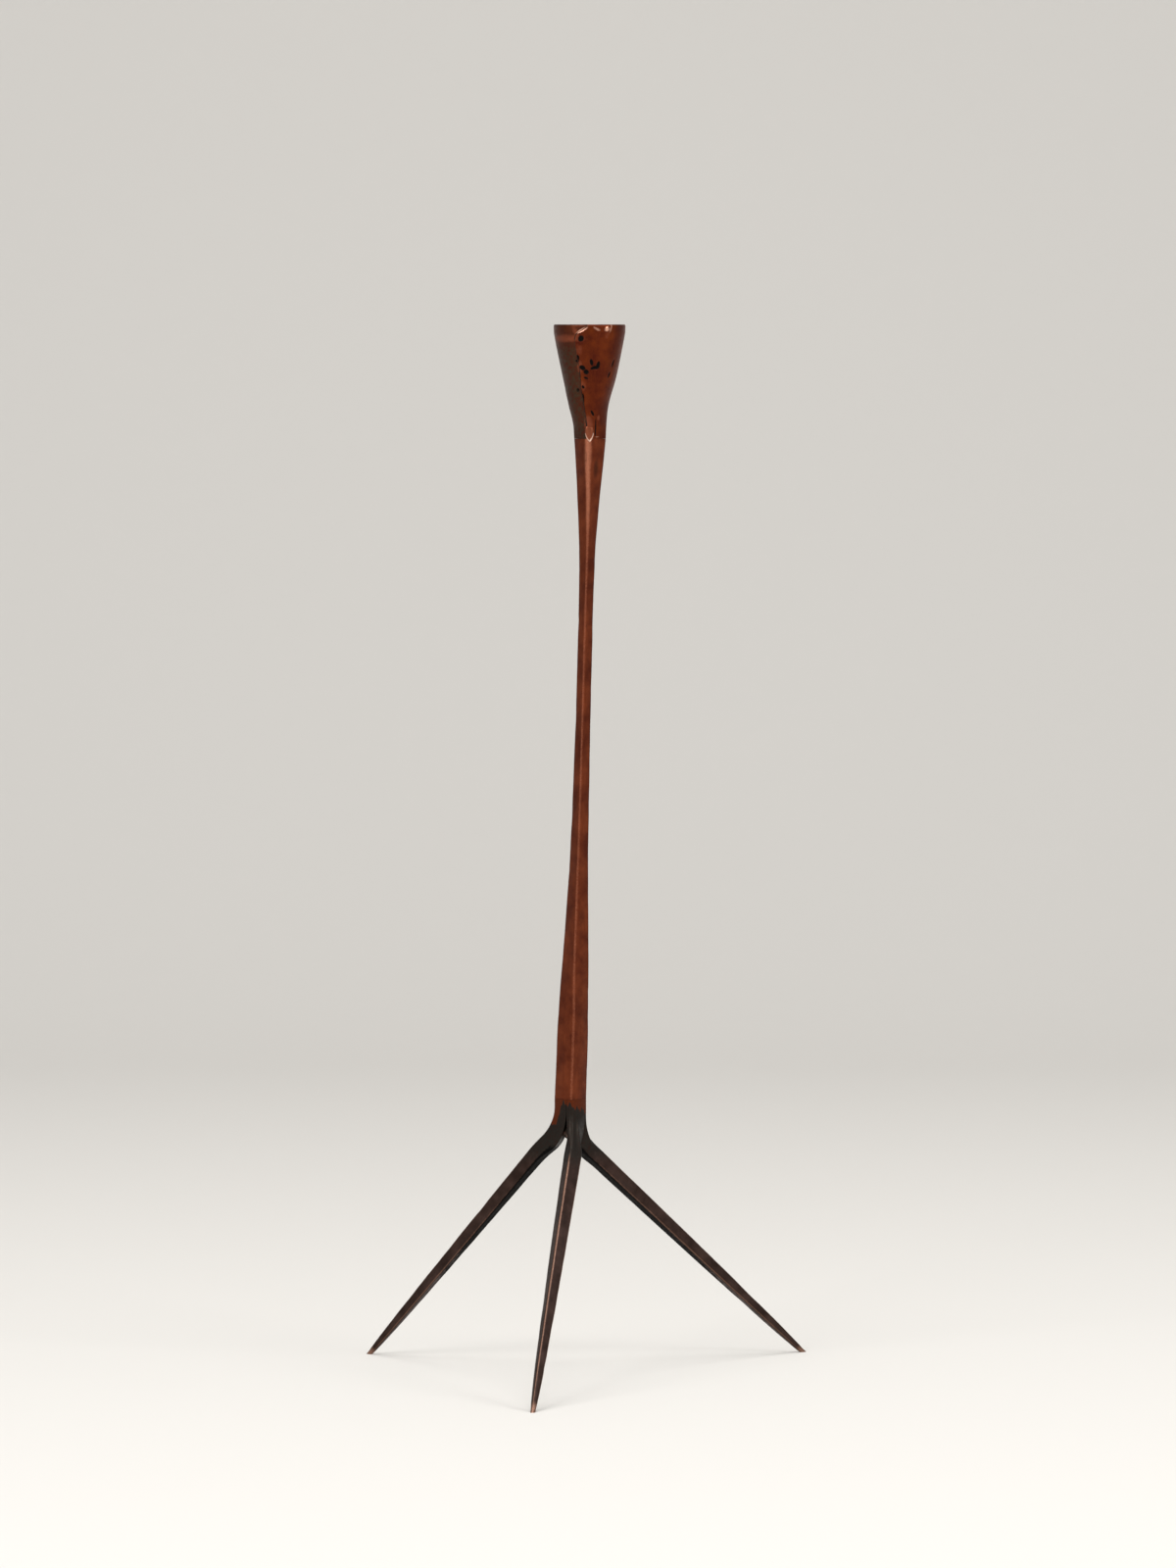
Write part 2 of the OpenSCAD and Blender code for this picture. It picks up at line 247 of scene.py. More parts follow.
@dataclass
class Skin:
    """Points, faces and marks of one piece, gathered from closed grids of points."""

    points: list = field(default_factory=list)
    faces: list = field(default_factory=list)
    marks: dict = field(default_factory=lambda: {mark: [] for mark in Mark})
    straight: list = field(default_factory=list)
    count: int = 0

    def add(self, grid: np.ndarray, marks: dict, straight: np.ndarray, inward: bool = False,
            ring: bool = False) -> None:
        """Adds a closed surface made of rings of points.

        Args:
            grid: points as [ring, place in the ring, coordinate], in millimetres about the stem's foot.
            marks: the sheet of marks of the same grid.
            straight: the points' places on the piece as if it were straight, for patterns that follow it.
            inward: True if the rings run the other way round, so that faces have to be turned.
            ring: True if the last ring joins the first. Otherwise a fan of faces closes each end.
        """
        rings, around = grid.shape[:2]
        i, j = np.meshgrid(np.arange(rings if ring else rings - 1), np.arange(around), indexing="ij")
        next_i, next_j = (i + 1) % rings, (j + 1) % around
        quads = np.stack([i * around + j, i * around + next_j,
                          next_i * around + next_j, next_i * around + j], -1)
        faces = quads.reshape(-1, 4).tolist()
        sheets = [(grid, marks, straight)]
        if not ring:
            for end, backward in ((0, True), (rings - 1, False)):
                middle = rings * around + (0 if backward else 1)
                here = end * around + np.arange(around)
                there = end * around + (np.arange(around) + 1) % around
                fan = np.stack([there, here, np.full(around, middle)] if backward
                               else [here, there, np.full(around, middle)], -1)
                faces += fan.tolist()
                ends = {mark: marks[mark][end].mean(keepdims=True) for mark in Mark}
                sheets.append((grid[end].mean(axis=0)[None], ends, straight[end].mean(axis=0)[None]))
        if inward:
            faces = [face[::-1] for face in faces]
        self.faces += [[corner + self.count for corner in face] for face in faces]
        for points, sheet, places in sheets:
            self.points.append(points.reshape(-1, 3))
            self.straight.append(places.reshape(-1, 3))
            for mark in Mark:
                self.marks[mark].append(sheet[mark].reshape(-1))
            self.count += points.size // 3

    def make(self, name: str, node: str, slot: str, finish: bpy.types.Material,
             sharp: float = 38.0) -> bpy.types.Object:
        """Makes the piece's object, in metres in the row's frame, and joins it to the frame.

        Args:
            name: name of the piece.
            node: the CAD node that it stands for.
            slot: the record's material slot; not used.
            finish: its material.
            sharp: angle in degrees from which an edge is shown sharp.

        Returns:
            The object.
        """
        mesh = bpy.data.meshes.new(name)
        places = (np.concatenate(self.points) + np.array([*ROW_SHIFT, 0.0])) * MM
        mesh.from_pydata(places.tolist(), [], self.faces)
        mesh.validate()
        mesh.shade_smooth()
        mesh.set_sharp_from_angle(angle=np.radians(sharp))
        for mark in Mark:
            layer = mesh.attributes.new(mark.value, "FLOAT", "POINT")
            shares = np.clip(np.concatenate(self.marks[mark]), 0, 1)
            layer.data.foreach_set("value", shares.astype(np.float32))
        layer = mesh.attributes.new(STRAIGHT, "FLOAT_VECTOR", "POINT")
        layer.data.foreach_set("vector", (np.concatenate(self.straight) * MM).astype(np.float32).ravel())
        mesh.materials.append(finish)
        piece = bpy.data.objects.new(name, mesh)
        bpy.context.collection.objects.link(piece)
        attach(piece, "root")
        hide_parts(node)
        log.info("%s: %d points, %d faces", name, len(places), len(self.faces))
        return piece


# The outline that stem, cup and heads of the legs share

@dataclass(frozen=True)
class Outline:
    """Outer surface of stem and cup: a section that changes with the height round a leaning centre line."""

    foot_z: float = 132.0
    cup_z: float = 446.0
    rim_z: float = 500.0
    lean: float = 9.2
    lean_ease: float = 1.6
    arris_soft: float = 0.35
    # Height, width over the arrises, roundness, and width of the flat along an arris
    stations: tuple = (
        (132.0, 15.0, 0.20, 1.0), (170.0, 14.4, 0.12, 1.0), (240.0, 9.3, 0.12, 0.8), (286.0, 7.7, 0.12, 0.7),
        (346.0, 7.0, 0.12, 0.7), (394.0, 7.9, 0.12, 0.9), (446.0, 14.9, 0.30, 2.4), (456.5, 17.2, 0.85, 2.4),
        (473.5, 25.0, 1.0, 2.4), (495.0, 33.6, 1.0, 2.4), (500.0, 34.2, 1.0, 2.4))
    # Height and turn of the arrises
    turns: tuple = (
        (132.0, 3.0), (172.0, 2.0), (196.0, -4.0), (240.0, -6.0), (360.0, -5.0), (392.0, -1.0), (416.0, -1.0),
        (430.0, -7.0), (444.0, -7.0), (456.0, -4.0), (500.0, -4.0))
    # Height and sideways waver of the centre line
    waver: tuple = (
        (132.0, 0.0), (175.0, -0.15), (200.0, -0.05), (230.0, 0.0), (330.0, 0.0), (396.0, 0.15), (420.0, 0.3),
        (440.0, 0.6), (451.0, 0.45), (461.0, -0.25), (472.0, 0.0), (500.0, 0.0))

    def centre(self, z: np.ndarray) -> np.ndarray:
        """Sideways place of the centre at height z: a lean that fades out towards the cup, and the waver."""
        rest = 1.0 - np.clip((z - self.foot_z) / (self.rim_z - self.foot_z), 0.0, 1.0)
        return self.lean * (1.0 - rest**self.lean_ease) + curve(self.waver, z)

    def turn(self, z: np.ndarray) -> np.ndarray:
        """Turn of the arrises at height z, in degrees."""
        return curve(self.turns, z)

    def radius(self, z: np.ndarray, bearing: np.ndarray) -> np.ndarray:
        """Outer radius at height z and a bearing: the four-sided radius mixed with a circle's.

        Args:
            z: heights.
            bearing: bearings.

        Returns:
            The radii.
        """
        half = curve(self.stations, z) / 2
        barred = four_sided(bearing - self.turn(z), half, curve(self.stations, z, 3), self.arris_soft)
        return mix(barred, half, curve(self.stations, z, 2))

    def place(self, z: np.ndarray, bearing: np.ndarray, radius: np.ndarray) -> np.ndarray:
        """Points at a height, bearing and radius round the centre line.

        Args:
            z: heights.
            bearing: bearings.
            radius: radii.

        Returns:
            The points.
        """
        angle = np.radians(bearing)
        x, y, z = np.broadcast_arrays(self.centre(z) + radius * np.cos(angle), radius * np.sin(angle), z)
        return np.stack([x, y, z], -1)

    def upright(self, z: np.ndarray, bearing: np.ndarray, radius: np.ndarray) -> np.ndarray:
        """The same points as if the centre line were straight."""
        angle = np.radians(bearing)
        return np.stack(np.broadcast_arrays(radius * np.cos(angle), radius * np.sin(angle), z), -1)


BODY = Outline()


# Stem

@dataclass(frozen=True)
class Stem:
    """Drawn bar with four flat, hammered sides, with a plug for the cup on top and a tenon below."""

    around: int = 160
    ring_gap: float = 0.9
    crowd: float = 0.8
    plug_h: float = 10.0
    plug_gap: float = 1.7
    plug_round: float = 0.8
    tenon_d: float = 5.0
    tenon_len: float = 13.0
    patches: tuple = (
        Patch(Mark.SOOT, 304, 432, 1.6, 5.0, strength=0.7),
        Patch(Mark.SOOT, 252, 437, 0.9, 7.0, strength=0.7),
        Patch(Mark.BLUSH, 262, 440, 2.0, 14.0, strength=0.9),
        Patch(Mark.BLUSH, 266, 418, 1.2, 16.0, strength=0.7),
        Patch(Mark.SOOT, 300, 219, 2.4, 5.0, strength=0.45),
        Patch(Mark.SOOT, 210, 273, 1.8, 5.0, strength=0.5),
        Patch(Mark.SOOT, 215, 241, 1.8, 4.0, strength=0.3),
        Patch(Mark.SOOT, 300, 340, 1.5, 9.0, strength=0.3),
        Patch(Mark.PIT, 256, 437, 0.35, 4.5, strength=0.6))

    def shaft(self) -> tuple:
        """The shaft's points: heights, bearings and radii, with its hammer marks."""
        z = np.linspace(BODY.foot_z, BODY.cup_z, int((BODY.cup_z - BODY.foot_z) / self.ring_gap))[:, None]
        from_arris = crowded(self.around, self.crowd)[None, :]
        bearing = from_arris + BODY.turn(z)
        radius = BODY.radius(z, bearing)
        fade = ease((z - BODY.foot_z) / 12.0) * ease((BODY.cup_z - z) / 8.0)
        length = BODY.cup_z - BODY.foot_z
        dents = hammered(7, 120, length, 3.2, 0.10, z - BODY.foot_z, bearing, radius)
        nicks = hammered(11, 160, length, 1.1, 0.08, z - BODY.foot_z, bearing, radius)
        return z, bearing, radius - fade * (dents + nicks), from_arris

    def marks(self, z: np.ndarray, bearing: np.ndarray, radius: np.ndarray, from_arris: np.ndarray) -> dict:
        """The shaft's marks: rubbed arrises with a painted highlight on the front one, painted shade on the
        side arrises, and the patches.

        Args:
            z: heights.
            bearing: bearings.
            radius: radii.
            from_arris: bearings from the first arris.

        Returns:
            The sheet of marks.
        """
        marks = no_marks(radius.shape)
        lay_patches(self.patches, marks, bearing, z, radius)
        off = np.abs(wrapped(4 * from_arris)) / 4
        flat = curve(BODY.stations, z, 3)
        along_arris = bell(np.radians(off) * radius, 0.3 + 0.5 * flat)
        # The front arris is the brightest: wear with a painted highlight.
        front = bell(wrapped(bearing - 266.0), 40.0)
        rub_and_highlight = 0.35 + 0.35 * ease((z - 380.0) / 50.0)
        marks[Mark.BRIGHT] = np.maximum(marks[Mark.BRIGHT], along_arris * rub_and_highlight * (0.35 + 0.65 * front))
        # Painted shade: the arrises at the left and right sides are darkened.
        sides = bell(np.radians(np.abs(wrapped(2 * (bearing - BODY.turn(z)))) / 2) * radius, 0.9)
        marks[Mark.SOOT] = np.maximum(marks[Mark.SOOT], 0.45 * sides * (1 - front))
        return marks

    def build(self, finish: bpy.types.Material) -> bpy.types.Object:
        """Makes the stem: tenon, shaft and plug are one closed surface of rings.

        Args:
            finish: its material.

        Returns:
            The stem.
        """
        z, bearing, radius, from_arris = self.shaft()
        marks = self.marks(z, bearing, radius, from_arris)
        low_z = np.array([BODY.foot_z - self.tenon_len, BODY.foot_z])[:, None]
        low_bearing = np.broadcast_to(bearing[:1], (2, self.around))
        low_radius = np.full((2, self.around), self.tenon_d / 2)
        plug_top = BODY.cup_z + self.plug_h
        high_z = np.array([BODY.cup_z, plug_top - self.plug_round, plug_top])[:, None]
        high_bearing = np.broadcast_to(bearing[-1:], (3, self.around))
        inset = np.array([0.0, 0.0, self.plug_round])[:, None]
        high_radius = BODY.radius(np.maximum(high_z, BODY.cup_z), high_bearing) - self.plug_gap - inset
        all_z = np.concatenate([low_z, z, high_z])
        all_bearing = np.concatenate([low_bearing, bearing, high_bearing])
        all_radius = np.concatenate([low_radius, radius, high_radius])
        dark = {mark: np.full((3, self.around), 1.0 if mark is Mark.SOOT else 0.0) for mark in Mark}
        all_marks = {mark: np.concatenate([dark[mark][:2], marks[mark], dark[mark]]) for mark in Mark}
        skin = Skin()
        skin.add(BODY.place(all_z, all_bearing, all_radius), all_marks,
                 BODY.upright(all_z, all_bearing, all_radius))
        return skin.make("forged_stem", "stem", "stem_copper", finish)


# Candle cup

@dataclass(frozen=True)
class CandleCup:
    """Copper sheet rolled to a cone, its outer edge lapped over at the front and brazed down."""

    around: int = 300
    up: int = 130
    wall: float = 1.6
    film: float = 0.1
    lap_least: float = 0.25
    lap_step: float = 0.8
    lap_scarf: float = 70.0
    throat_at: float = 10.5
    lip_rings: int = 6
    # Height and bearing of the lap's edge
    lap: tuple = (
        (444.0, 268.0), (449.0, 263.0), (456.0, 261.0), (463.0, 258.0), (470.0, 252.0), (478.0, 252.0),
        (486.0, 247.5), (493.0, 246.5), (495.8, 250.5), (497.3, 258.6), (498.7, 265.5), (500.0, 269.0))
    patches: tuple = (
        Patch(Mark.PIT, 256.0, 493.4, 1.3, 1.6, tilt=20, sunk=0.35),
        Patch(Mark.PIT, 248.5, 484.4, 0.9, 1.3, sunk=0.3, strength=0.9),
        Patch(Mark.PIT, 246.5, 482.8, 1.3, 0.6, sunk=0.2, strength=0.8),
        Patch(Mark.PIT, 256.5, 479.6, 1.5, 1.1, tilt=30, sunk=0.45),
        Patch(Mark.PIT, 263.5, 477.6, 1.1, 1.3, tilt=-40, sunk=0.4),
        Patch(Mark.PIT, 263.0, 474.8, 1.2, 0.6, tilt=20, sunk=0.25, strength=0.7),
        Patch(Mark.PIT, 273.5, 482.2, 0.8, 1.6, tilt=-12, sunk=0.4),
        Patch(Mark.PIT, 277.5, 479.6, 1.5, 0.7, tilt=-25, sunk=0.35),
        Patch(Mark.PIT, 286.5, 480.8, 0.9, 1.8, tilt=10, sunk=0.45),
        Patch(Mark.PIT, 282.0, 479.3, 1.2, 0.6, sunk=0.3, strength=0.9),
        Patch(Mark.PIT, 321.6, 481.7, 0.55, 2.0, tilt=15, sunk=0.25, strength=0.9),
        Patch(Mark.PIT, 315.3, 476.2, 0.55, 1.8, tilt=15, sunk=0.25, strength=0.9),
        Patch(Mark.PIT, 256.2, 470.5, 0.6, 0.9, tilt=-30, sunk=0.3),
        Patch(Mark.PIT, 255.6, 464.9, 0.5, 2.6, sunk=0.35),
        Patch(Mark.PIT, 241.0, 469.0, 1.1, 1.2, sunk=0.2, strength=0.6),
        Patch(Mark.PIT, 280.0, 458.2, 0.6, 1.6, tilt=-25, sunk=0.3, strength=0.9),
        Patch(Mark.PIT, 291.0, 451.0, 0.4, 5.0, sunk=0.15, strength=0.75),
        Patch(Mark.BLUSH, 226.0, 493.4, 10.0, 1.9, strength=0.95, firmness=1.5),
        Patch(Mark.BLUSH, 247.0, 496.4, 3.4, 1.3, tilt=62, strength=0.8),
        Patch(Mark.BLUSH, 251.0, 480.0, 1.6, 3.4, strength=0.7),
        Patch(Mark.BLUSH, 252.0, 488.0, 1.8, 3.0, strength=0.5),
        Patch(Mark.BLUSH, 255.0, 471.0, 1.8, 2.6, strength=0.6),
        Patch(Mark.BLUSH, 266.0, 453.0, 2.2, 4.4, strength=0.9),
        Patch(Mark.BLUSH, 299.0, 495.0, 1.6, 2.0, strength=0.5),
        Patch(Mark.BLUSH, 301.0, 456.0, 0.8, 1.4, strength=0.9),
        # Painted highlights: a glint on a raised spot at the rim, streaks and an arc along the lip, and a
        # dash at the throat.
        Patch(Mark.BRIGHT, 257.5, 497.3, 0.75, 3.2, tilt=62, strength=1.0, sunk=0.15),
        Patch(Mark.BRIGHT, 281.0, 497.9, 0.5, 2.0, tilt=-60, strength=0.7),
        Patch(Mark.BRIGHT, 298.0, 497.8, 1.15, 1.15, strength=1.0, sunk=-0.25),
        Patch(Mark.BRIGHT, 305.3, 497.9, 0.4, 2.0, tilt=14, strength=0.75),
        Patch(Mark.BRIGHT, 300.0, 446.9, 1.2, 0.35, strength=0.45))

    def lap_bearing(self, z: np.ndarray) -> np.ndarray:
        """Bearing of the lap's edge at height z."""
        return curve(self.lap, z)

    def lap_height(self, z: np.ndarray) -> np.ndarray:
        """How far the lap's edge stands over the sheet below it at height z."""
        return mix(self.lap_least, self.lap_step, ease((z - BODY.cup_z) / self.throat_at))

    def marks(self, z: np.ndarray, past_lap: np.ndarray, bearing: np.ndarray, radius: np.ndarray) -> tuple:
        """The outer wall's marks, and how far its points are sunk by them.

        The sheet under the lap is darker from its edge round to the left, less so near the rim. Painted shade
        darkens the top of the lip on the left and the back of the cup, and patches at the rim and the throat
        are painted highlights.

        Args:
            z: heights.
            past_lap: bearing past the lap's edge, from 0 to a whole turn.
            bearing: bearings.
            radius: radii.

        Returns:
            The sheet of marks and the depths.
        """
        marks = no_marks(radius.shape)
        sunk = lay_patches(self.patches, marks, bearing, z, radius)
        left = ease((past_lap - 225.0) / 45.0)
        low = 0.55 + 0.45 * ease((493.0 - z) / 8.0)
        marks[Mark.SOOT] = left * low * 0.92
        # Painted shade: a dark reflection along the top of the lip on the left.
        lip_edge = curve(((196.0, 495.2), (242.0, 496.6), (264.0, 499.9), (285.0, 500.4)), bearing)
        lip = ease((z - lip_edge + 0.5) / 1.0) * ease((bearing - 150.0) / 40.0)
        marks[Mark.PIT] = np.maximum(marks[Mark.PIT], 0.72 * lip)
        # Painted shade: the cup darkens towards the back and its right edge.
        back = bell(wrapped(bearing - 60.0), 50.0) * bell(z - 478.0, 14.0)
        marks[Mark.SOOT] = np.maximum(marks[Mark.SOOT], 0.4 * back)
        return marks, sunk

    def build(self, finish: bpy.types.Material) -> bpy.types.Object:
        """Makes the cup: outer wall, rounded lip and inner wall are rings that close on themselves.

        Args:
            finish: its material.

        Returns:
            The cup.
        """
        base_z = BODY.cup_z + self.film
        half = self.wall / 2
        z = np.linspace(base_z, BODY.rim_z - half, self.up)[:, None]
        past = np.concatenate([np.linspace(0.0, 4.0, 12, endpoint=False),
                               np.linspace(4.0, TURN, self.around)])[None, :]
        scarf = 1 - ease(past / self.lap_scarf)
        bearing = self.lap_bearing(z) + past
        flush = BODY.radius(z, bearing)
        marks, sunk = self.marks(z, np.broadcast_to(past, bearing.shape), bearing, flush)
        dents = hammered(5, 90, BODY.rim_z - BODY.cup_z, 4.0, 0.12, z - BODY.cup_z, bearing, flush)
        outer = flush + self.lap_height(z) * scarf - sunk - dents * ease((z - base_z) / 6.0)
        bend = np.linspace(0.0, np.pi, self.lip_rings + 2)[1:-1, None]
        lip_z = BODY.rim_z - half + half * np.sin(bend)
        lip_bearing = np.broadcast_to(bearing[-1:], (self.lip_rings, bearing.shape[1]))
        wide = outer[-1:] - (flush[-1:] - self.wall)
        lip_r = outer[-1:] - wide / 2 * (1 - np.cos(bend))
        all_z = np.concatenate([z, lip_z, z[::-1]])
        all_bearing = np.concatenate([bearing, lip_bearing, bearing[::-1]])
        all_radius = np.concatenate([outer, lip_r, flush[::-1] - self.wall])
        lip_marks = {mark: np.repeat(marks[mark][-1:], self.lip_rings, axis=0) for mark in Mark}
        lip_marks[Mark.PIT] = np.maximum(lip_marks[Mark.PIT], 0.35)
        inside = {mark: np.full(flush.shape, 0.75 if mark is Mark.SOOT else 0.0) for mark in Mark}
        every = {mark: np.concatenate([marks[mark], lip_marks[mark], inside[mark]]) for mark in Mark}
        skin = Skin()
        skin.add(BODY.place(all_z, all_bearing, all_radius), every,
                 BODY.upright(all_z, all_bearing, all_radius), ring=True)
        return skin.make("rolled_candle_cup", "candle_cup", "cup_copper", finish)


@dataclass(frozen=True)
class LapBraze:
    """Braze of the lap: a bead along the lap's edge, and the drop in which it ends at the throat."""

    cup: CandleCup
    bead_w: float = 0.9
    bead_rings: int = 160
    bead_points: int = 9
    sunk: float = 0.15
    tuck: float = 0.05
    drop_bearing: float = 268.3
    drop_top: float = 452.5
    drop_tip: float = 444.3
    drop_w: float = 2.25
    drop_proud: float = 0.62
    drop_rings: int = 26
    drop_around: int = 64

    def bead(self, skin: Skin) -> None:
        """Adds the bead: a hollow quarter round from the sheet below up the lap's edge, sunk into both.

        Args:
            skin: the skin that it is added to.
        """
        z = np.linspace(BODY.cup_z + 1.0, BODY.rim_z - 1.2, self.bead_rings)[:, None]
        lap = self.cup.lap_bearing(z)
        low = BODY.radius(z, lap)
        uneven = 0.75 + 0.25 * np.sin(z * 1.9) * np.sin(z * 0.83 + 1.0)
        width = self.bead_w * uneven
        angle = np.linspace(0.0, np.pi / 2, self.bead_points)[None, :]
        aside = width * (1 - np.sin(angle))
        up = self.cup.lap_height(z) * 0.92 * (1 - np.cos(angle))
        back = np.full_like(z, -self.sunk)
        aside = np.concatenate([aside, back, back + width], axis=1)
        up = np.concatenate([up, back, back - self.tuck], axis=1)
        radius = low + up
        bearing = lap - np.degrees(aside / low)
        marks = no_marks(radius.shape)
        marks[Mark.SOOT] += 0.55
        skin.add(BODY.place(z, bearing, radius), marks, BODY.upright(z, bearing, radius), inward=True)

    def drop(self, skin: Skin) -> None:
        """Adds the drop: a shield that ends in a point, domed like half an ellipse over the throat.

        Args:
            skin: the skin that it is added to.
        """
        share = np.linspace(0.0, 1.0, self.drop_rings)[:, None]
        around = np.linspace(0.0, 2 * np.pi, self.drop_around, endpoint=False)[None, :]
        middle = mix(self.drop_tip, self.drop_top, 0.62)
        half_up = self.drop_top - middle
        half_down = middle - self.drop_tip
        side = np.cos(around)
        rise = np.sin(around)
        pointed = np.where(rise < 0, np.abs(side) ** 1.55 * np.sign(side), side)
        tall = np.where(rise < 0, half_down, half_up) * rise
        dome = np.sqrt(np.clip(1 - share**2, 0.0, 1.0)) ** 0.7
        z = middle + share * tall
        bearing = self.drop_bearing + np.degrees(share * pointed * self.drop_w / 7.6)
        foot = BODY.radius(z, bearing)
        radius = foot - self.sunk + (self.drop_proud + self.sunk) * dome
        floor = foot - self.sunk * 2
        marks = no_marks(radius.shape)
        # Painted highlight along the drop's lower rim, stronger on its right side.
        rim_light = bell(share - 0.86, 0.12) * np.where(rise < -0.15, 1.0, 0.0)
        right = np.where(side > 0, 1.0, 0.6)
        marks[Mark.BRIGHT] += rim_light * right
        marks[Mark.BLUSH] += 1.0
        both = {mark: np.concatenate([marks[mark], marks[mark][::-1]]) for mark in Mark}
        z, bearing = (np.concatenate([part, part[::-1]]) for part in (z, bearing))
        radius = np.concatenate([radius, floor[::-1]])
        skin.add(BODY.place(z, bearing, radius), both, BODY.upright(z, bearing, radius), inward=True)

    def build(self, finish: bpy.types.Material) -> bpy.types.Object:
        """Makes the bead and its drop as one piece.

        Args:
            finish: its material.

        Returns:
            The piece.
        """
        skin = Skin()
        self.bead(skin)
        self.drop(skin)
        return skin.make("lap_bead", "lap_braze", "braze_copper", finish)


# Legs

def unit(bearing: float) -> np.ndarray:
    """Level unit vector at a bearing in degrees."""
    return np.array([np.cos(np.radians(bearing)), np.sin(np.radians(bearing))])


